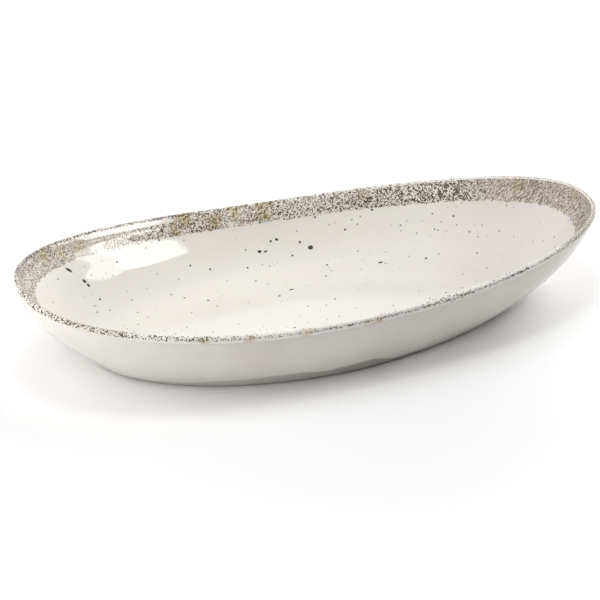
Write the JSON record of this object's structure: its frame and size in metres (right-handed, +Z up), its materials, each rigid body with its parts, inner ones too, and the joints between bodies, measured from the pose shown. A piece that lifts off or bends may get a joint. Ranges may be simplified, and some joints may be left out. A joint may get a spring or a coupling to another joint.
{
  "type": "oval serving dish",
  "caption": "Long oval, boat-shaped serving dish with raised ends, a dense speckled band round the inside of the rim, a lightly speckled well and a plain off-white outside on a low foot ring.",
  "frame": {"origin": "middle of the dish seen from above, on the table under the foot ring", "axes": "+X along the dish towards its narrower end, +Y across it, +Z up out of the well"},
  "size_m": [0.4, 0.1838, 0.0619],
  "materials": {
    "body": "gloss off-white moulded melamine",
    "rim_print": "gloss print of dense dark and light specks on grey-beige",
    "well_print": "gloss cream print with a few dark specks"
  },
  "bodies": {
    "root": {"moulded_body": "body", "rim_foil": "rim_print", "well_foil": "well_print"}
  },
  "joints": []
}
